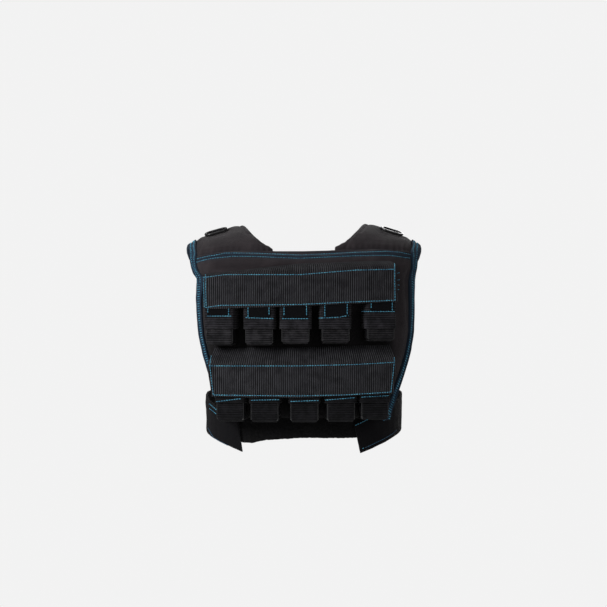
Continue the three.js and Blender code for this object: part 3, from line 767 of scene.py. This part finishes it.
FLAP_SEAMS = {
    "upper": {
        "top": millimetres((-166.6, -69.3), (-130.3, -64.3), (-6.6, -64.3), (84.1, -56.9), (151.8, -55.3)),
        "hem": millimetres((-162.0, -118.0), (-135.3, -114.4), (-6.6, -113.0), (52.8, -110.0),
                           (149.5, -106.0)),
        "left": millimetres((-164.6, -58.0), (-164.4, -89.1), (-163.4, -117.8)),
        "left_again": millimetres((-161.2, -60.0), (-161.0, -89.1), (-160.4, -117.0)),
        "left_corner": millimetres((-168.5, -68.8), (-156.0, -68.0)),
        "right": millimetres((148.6, -45.3), (148.6, -72.6), (149.3, -106.4)),
        "right_corner": millimetres((140.0, -55.3), (153.0, -55.3)),
    },
    "lower": {
        "top": millimetres((-156.8, -213.7), (-6.6, -213.3), (84.1, -211.2), (151.8, -207.6)),
        "hem": millimetres((-148.6, -261.4), (-6.6, -262.3), (67.6, -260.8), (142.5, -256.6)),
        "left": millimetres((-151.4, -188.4), (-154.4, -214.5), (-148.6, -261.4)),
        "right": millimetres((148.2, -186.4), (148.0, -208.5), (142.5, -256.6)),
    },
}
flap_webbing = flap_finish()
for row, seams in FLAP_SEAMS.items():
    where = row_place(row)
    flap = web(f"{row}_flap", f"{row}_flap_webbing", simple=3)
    mark(flap, "across", lambda place: where(place)[0])

    def drape(place, normal):
        length, out = where(place)
        hang = ease(out, 0.020, 0.032)
        folds = 0.0009 * ripple(Vector((length, 0, place.z)), 0.030, 1, 0.060, 2.2)
        pull = 0.0005 * ripple(Vector((length, 0, place.z)), 0.011, 1, 0.020, 9.1)
        return normal * (folds + pull) * hang

    shape(flap, drape)
    smooth(flap, 50)
    dress(flap, flap_webbing)
    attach(flap, "root")
    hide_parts(f"{row}_flap")
    flap_skin = surface(flap)
    stitches = sew(f"{row}_flap_stitches", flap_skin, [behind(flap_skin, line) for line in seams.values()])


LOOSE_ENDS = [
    millimetres((151.5, -62.0), (157.5, -60.5)), millimetres((151.5, -73.0), (158.5, -72.0)),
    millimetres((151.0, -80.0), (157.0, -81.0)), millimetres((150.5, -87.5), (157.0, -88.5)),
]
sew("loose_thread_ends", back_skin, [behind(back_skin, line) for line in LOOSE_ENDS])


# Hook patches
# A square of black hook tape is sewn to the front of each upper sleeve, half under the flap. Blue stitches
# run across the whole sleeve below it and up both of its sides. The lower sleeves have the row across alone.
PATCH_OUT = 0.0176
PATCH_THICKNESS = 0.0012
PATCH_HEIGHT = 0.030
PATCH_SEAM_OUT = 0.0182
PATCH_SEAM_IN = 0.0016
SEAM_BELOW_TOP = 0.006

# Each row's line of stitches, and half of its patch's width in millimetres
POCKET_SEAMS = {
    ("upper", 1): (millimetres((-163.7, -132.0), (-117.1, -132.0)), 19.5),
    ("upper", 2): (millimetres((-103.9, -134.1), (-47.0, -136.3)), 19.0),
    ("upper", 3): (millimetres((-40.4, -136.1), (11.5, -136.1)), 20.0),
    ("upper", 4): (millimetres((23.1, -135.3), (52.8, -134.1), (83.3, -129.5)), 20.0),
    ("upper", 5): (millimetres((94.0, -124.4), (158.4, -124.6)), 19.5),
    ("lower", 1): (millimetres((-148.4, -272.9), (-102.3, -267.1)), 0),
    ("lower", 2): (millimetres((-91.1, -269.8), (-41.2, -268.5)), 0),
    ("lower", 3): (millimetres((-26.8, -271.7), (27.9, -269.6)), 0),
    ("lower", 4): (millimetres((34.6, -269.4), (86.5, -265.0)), 0),
    ("lower", 5): (millimetres((90.7, -264.8), (141.6, -262.2)), 0),
}


def hook_finish():
    hooks = Finish("hook_tape", gloss=0.1)
    dots = hooks.along("across").wave(0.0015) * hooks.z.wave(0.0015)
    grain = hooks.speckle(0.002, 3.0)
    black = hooks.mix(dots, (0.002, 0.002, 0.003, 1), (0.010, 0.010, 0.012, 1))
    hooks.show(black, 0.7 + grain * 0.2, dots + grain * 0.3, 0.0006)
    return hooks


hook_tape = hook_finish()
for (row, number), (seam, half) in POCKET_SEAMS.items():
    middle, across, outward = pocket_spot(row, number)
    fronts = [bpy.data.objects[f"{row}_block_sleeve_{number}"]]
    if half:
        foot = height_at(seam, middle.x) + 0.0012
        head = foot + PATCH_HEIGHT
        bpy.ops.object.select_all(action="DESELECT")
        bpy.ops.mesh.primitive_cube_add(size=1, location=middle + outward * PATCH_OUT)
        patch = bpy.context.object
        patch.name = f"hook_patch_{number}"
        patch.location.z = (foot + head) / 2
        patch.rotation_euler.z = math.atan2(across.y, across.x)
        patch.scale = (0.0020 * half, PATCH_THICKNESS, head - foot)
        bpy.ops.object.transform_apply(location=True, rotation=True, scale=True)
        modify(patch, "BEVEL", width=0.0004, segments=2)
        modify(patch, "SUBSURF", levels=3, render_levels=3, subdivision_type="SIMPLE")
        shape(patch, lambda place, normal: normal * 0.0003 * ripple(place, 0.006, 0.006, 0.006, 2.7))
        mark(patch, "across", lambda place: (place - middle).dot(across))
        smooth(patch, 50)
        dress(patch, hook_tape)
        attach(patch, "root")
        fronts.append(patch)
    tree = surface(*fronts)
    lines = [behind(tree, seam)]
    if half:
        for side in (-1, 1):
            beside = across * side * (half / 1000 - PATCH_SEAM_IN)
            x = (middle + outward * PATCH_SEAM_OUT + beside).x
            lines.append(behind(tree, [(x, foot), (x, head - SEAM_BELOW_TOP)]))
    sew(f"{row}_pocket_stitches_{number}", tree, lines, length=0.0040)


def loop_finish():
    pile = Finish("loop_pile", sheen=0.12, gloss=0.1)
    loops = pile.speckle(0.0012, 4.0)
    tufts = pile.speckle(0.006, 3.0)
    black = pile.mix(loops.between(0.35, 0.7), (0.002, 0.002, 0.002, 1), (0.010, 0.010, 0.011, 1))
    pile.show(black, 0.95 + tufts * 0.05, loops + tufts * 0.6, 0.0014)
    return pile


belt = cut_out("back_belt", "belt_strip")
modify(belt, "SUBSURF", levels=3, render_levels=3, subdivision_type="SIMPLE")
keep_rims(belt, 65, 0.5)
round_off(belt, 1)
shape(belt, lambda place, normal: normal * (0.0008 * ripple(place, 0.004, 0.004, 0.004, 1.4)
                                            + 0.0010 * ripple(place, 0.04, 0.04, 0.02, 5.5)))
smooth(belt, 60)
dress(belt, loop_finish())
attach(belt, "root")
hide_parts("back_belt")


# Belt wings
# Two padded ends of the belt in matt black cloth, sewn to the front panel. They come round the sides and
# close on the loop strip, with turned hems.
def wing_finish():
    wing = Finish("belt_fabric", sheen=0.06, gloss=0.12)
    twill = (wing.z + wing.x * 0.8 + wing.y * 0.8).wave(0.0018)
    lint = wing.speckle(0.002, 4.0)
    dust = wing.speckle(0.03, 3.0).between(0.42, 0.72)
    black = wing.mix(twill, (0.002, 0.002, 0.003, 1), (0.007, 0.0065, 0.008, 1))
    black = wing.mix(dust * 0.4, black, (0.009, 0.0085, 0.010, 1))
    black = wing.mix(lint.between(0.62, 0.80) * 0.3, black, (0.035, 0.035, 0.040, 1))
    wing.show(black, 0.85 + dust * 0.1, twill * 0.7 + lint * 0.6, 0.0005)
    return wing


WING_SEAMS = {
    "left": [
        millimetres((-157.6, -278.0), (-143.5, -288.8)),
        millimetres((-157.6, -285.4), (-144.4, -295.3)),
    ],
    "right": [
        millimetres((84.1, -312.7), (105.6, -302.8)),
        millimetres((90.8, -353.1), (100.6, -349.0)),
    ],
}
WING_HEMS = {
    "left": [millimetres((-160.0, -318.0), (-150.5, -334.0), (-138.0, -340.5), (-102.5, -357.0))],
    "right": [millimetres((100.6, -349.8), (132.0, -335.5), (147.0, -327.5), (154.0, -321.0))],
}
belt_cloth = wing_finish()
for side, seams in WING_SEAMS.items():
    wing = cut_out("belt_wing_" + side, "wing_" + side)
    modify(wing, "SUBSURF", levels=2, render_levels=2, subdivision_type="SIMPLE")
    keep_rims(wing, 65, 0.6)
    round_off(wing, 1)
    shape(wing, lambda place, normal: normal * (0.0011 * ripple(place, 0.05, 0.05, 0.03, 3.8)
                                                + 0.0004 * ripple(place, 0.012, 0.012, 0.010, 6.6)))
    smooth(wing, 50)
    dress(wing, belt_cloth)
    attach(wing, "root")
    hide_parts("belt_wing_" + side)
    wing_skin = surface(wing)
    sew(f"wing_{side}_stitches", wing_skin, [behind(wing_skin, line) for line in seams])
    sew(f"wing_{side}_hem_stitches", wing_skin, [behind(wing_skin, line) for line in WING_HEMS[side]],
        length=0.0042, finish=deep_thread)


# Shoulder rings and their tabs
# Flat oval rings moulded in glossy black plastic lie on the crests of the pads, each held by a short folded
# tab of webbing.
TAB_PRESSED = 0.35


def moulded_finish():
    ring = Finish("ring_plastic", coat=0.5, gloss=0.6)
    scuff = ring.speckle(0.004, 4.0)
    black = ring.mix(scuff.between(0.55, 0.75), (0.006, 0.006, 0.007, 1), (0.020, 0.020, 0.022, 1))
    ring.show(black, 0.22 + scuff * 0.18, scuff, 0.0002, 0.5)
    return ring


ring_plastic = moulded_finish()
for side in ("left", "right"):
    ring = cut_out("shoulder_ring_" + side, "oval_ring_" + side)
    modify(ring, "BEVEL", width=0.0006, segments=2, limit_method="ANGLE", angle_limit=math.radians(30))
    smooth(ring, 70)
    dress(ring, ring_plastic)
    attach(ring, "root")
    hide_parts("shoulder_ring_" + side)
    tab = web("ring_tab_" + side, "webbing_tab_" + side)
    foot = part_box("ring_tab_" + side)[0].z
    shape(tab, lambda place, normal: Vector((0, 0, -TAB_PRESSED * (place.z - foot))))
    mark(tab, "along", lambda place: place.y)
    mark(tab, "across", lambda place: place.x)
    smooth(tab, 50)
    dress(tab, strap_webbing)
    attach(tab, "root")
    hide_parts("ring_tab_" + side)


# Studio
# A plain pale floor that fades into a pale ground, broad soft light from the left, and a camera straight
# behind the vest, a little above its middle.
FLOOR_HEIGHT = -0.95
FLOOR_RADIUS = 4
LIGHTS_AIM = Vector((0, -0.05, -0.15))
AMBIENT_LIGHT = 0.16
BACKDROP_LIGHT = 0.89
CAMERA_PLACE = Vector((-0.0008, -6.10, -0.1114))

bpy.data.objects.remove(stitch)
bpy.ops.object.select_all(action="DESELECT")
bpy.ops.mesh.primitive_circle_add(vertices=96, radius=FLOOR_RADIUS, fill_type="NGON",
                                  location=(0, 0, FLOOR_HEIGHT))
floor = bpy.context.object
floor.name = "floor"
bpy.ops.object.transform_apply(location=True)
ground = Finish("pale_floor")
away = (ground.x * ground.x + ground.y * ground.y) ** 0.5
ground.set(ground.shader.inputs["Base Color"], (0.80, 0.80, 0.80, 1))
ground.set(ground.shader.inputs["Roughness"], 0.6 + ground.speckle(0.05) * 0.1)
ground.set(ground.shader.inputs["Alpha"], 1 - away.between(0.6, 2.2))
dress(floor, ground)


def softbox(name, place, size, power):
    lamp = bpy.data.lights.new(name, "AREA")
    lamp.shape = "RECTANGLE"
    lamp.size, lamp.size_y = size
    lamp.energy = power
    box = bpy.data.objects.new(name, lamp)
    box.location = place
    box.rotation_euler = (LIGHTS_AIM - Vector(place)).to_track_quat("-Z", "Y").to_euler()
    bpy.context.collection.objects.link(box)


softbox("key_light", (-2.8, -2.2, 1.2), (1.6, 1.6), 100)
softbox("fill_light", (2.0, -3.2, 0.4), (1.6, 1.6), 14)
softbox("top_light", (-1.4, -0.4, 2.4), (1.6, 1.6), 8)
softbox("front_light", (1.2, 2.8, 0.9), (1.8, 1.8), 35)

world = bpy.data.worlds.new("studio")
bpy.context.scene.world = world
world.use_nodes = True
sky = world.node_tree
backdrop = sky.nodes["Background"]
backdrop.inputs["Color"].default_value = (1, 1, 1, 1)
seen = sky.nodes.new("ShaderNodeLightPath")
level = sky.nodes.new("ShaderNodeMapRange")
level.inputs["To Min"].default_value = AMBIENT_LIGHT
level.inputs["To Max"].default_value = BACKDROP_LIGHT
sky.links.new(seen.outputs["Is Camera Ray"], level.inputs["Value"])
sky.links.new(level.outputs["Result"], backdrop.inputs["Strength"])
bpy.context.scene.view_settings.view_transform = "Standard"

lens = bpy.data.cameras.new("camera")
lens.lens = 216
lens.sensor_width = 36
lens.clip_end = 50
camera = bpy.data.objects.new("camera", lens)
camera.location = CAMERA_PLACE
camera.rotation_euler = (math.pi / 2, 0, 0)
bpy.context.collection.objects.link(camera)
bpy.context.scene.camera = camera

bpy.context.view_layer.update()
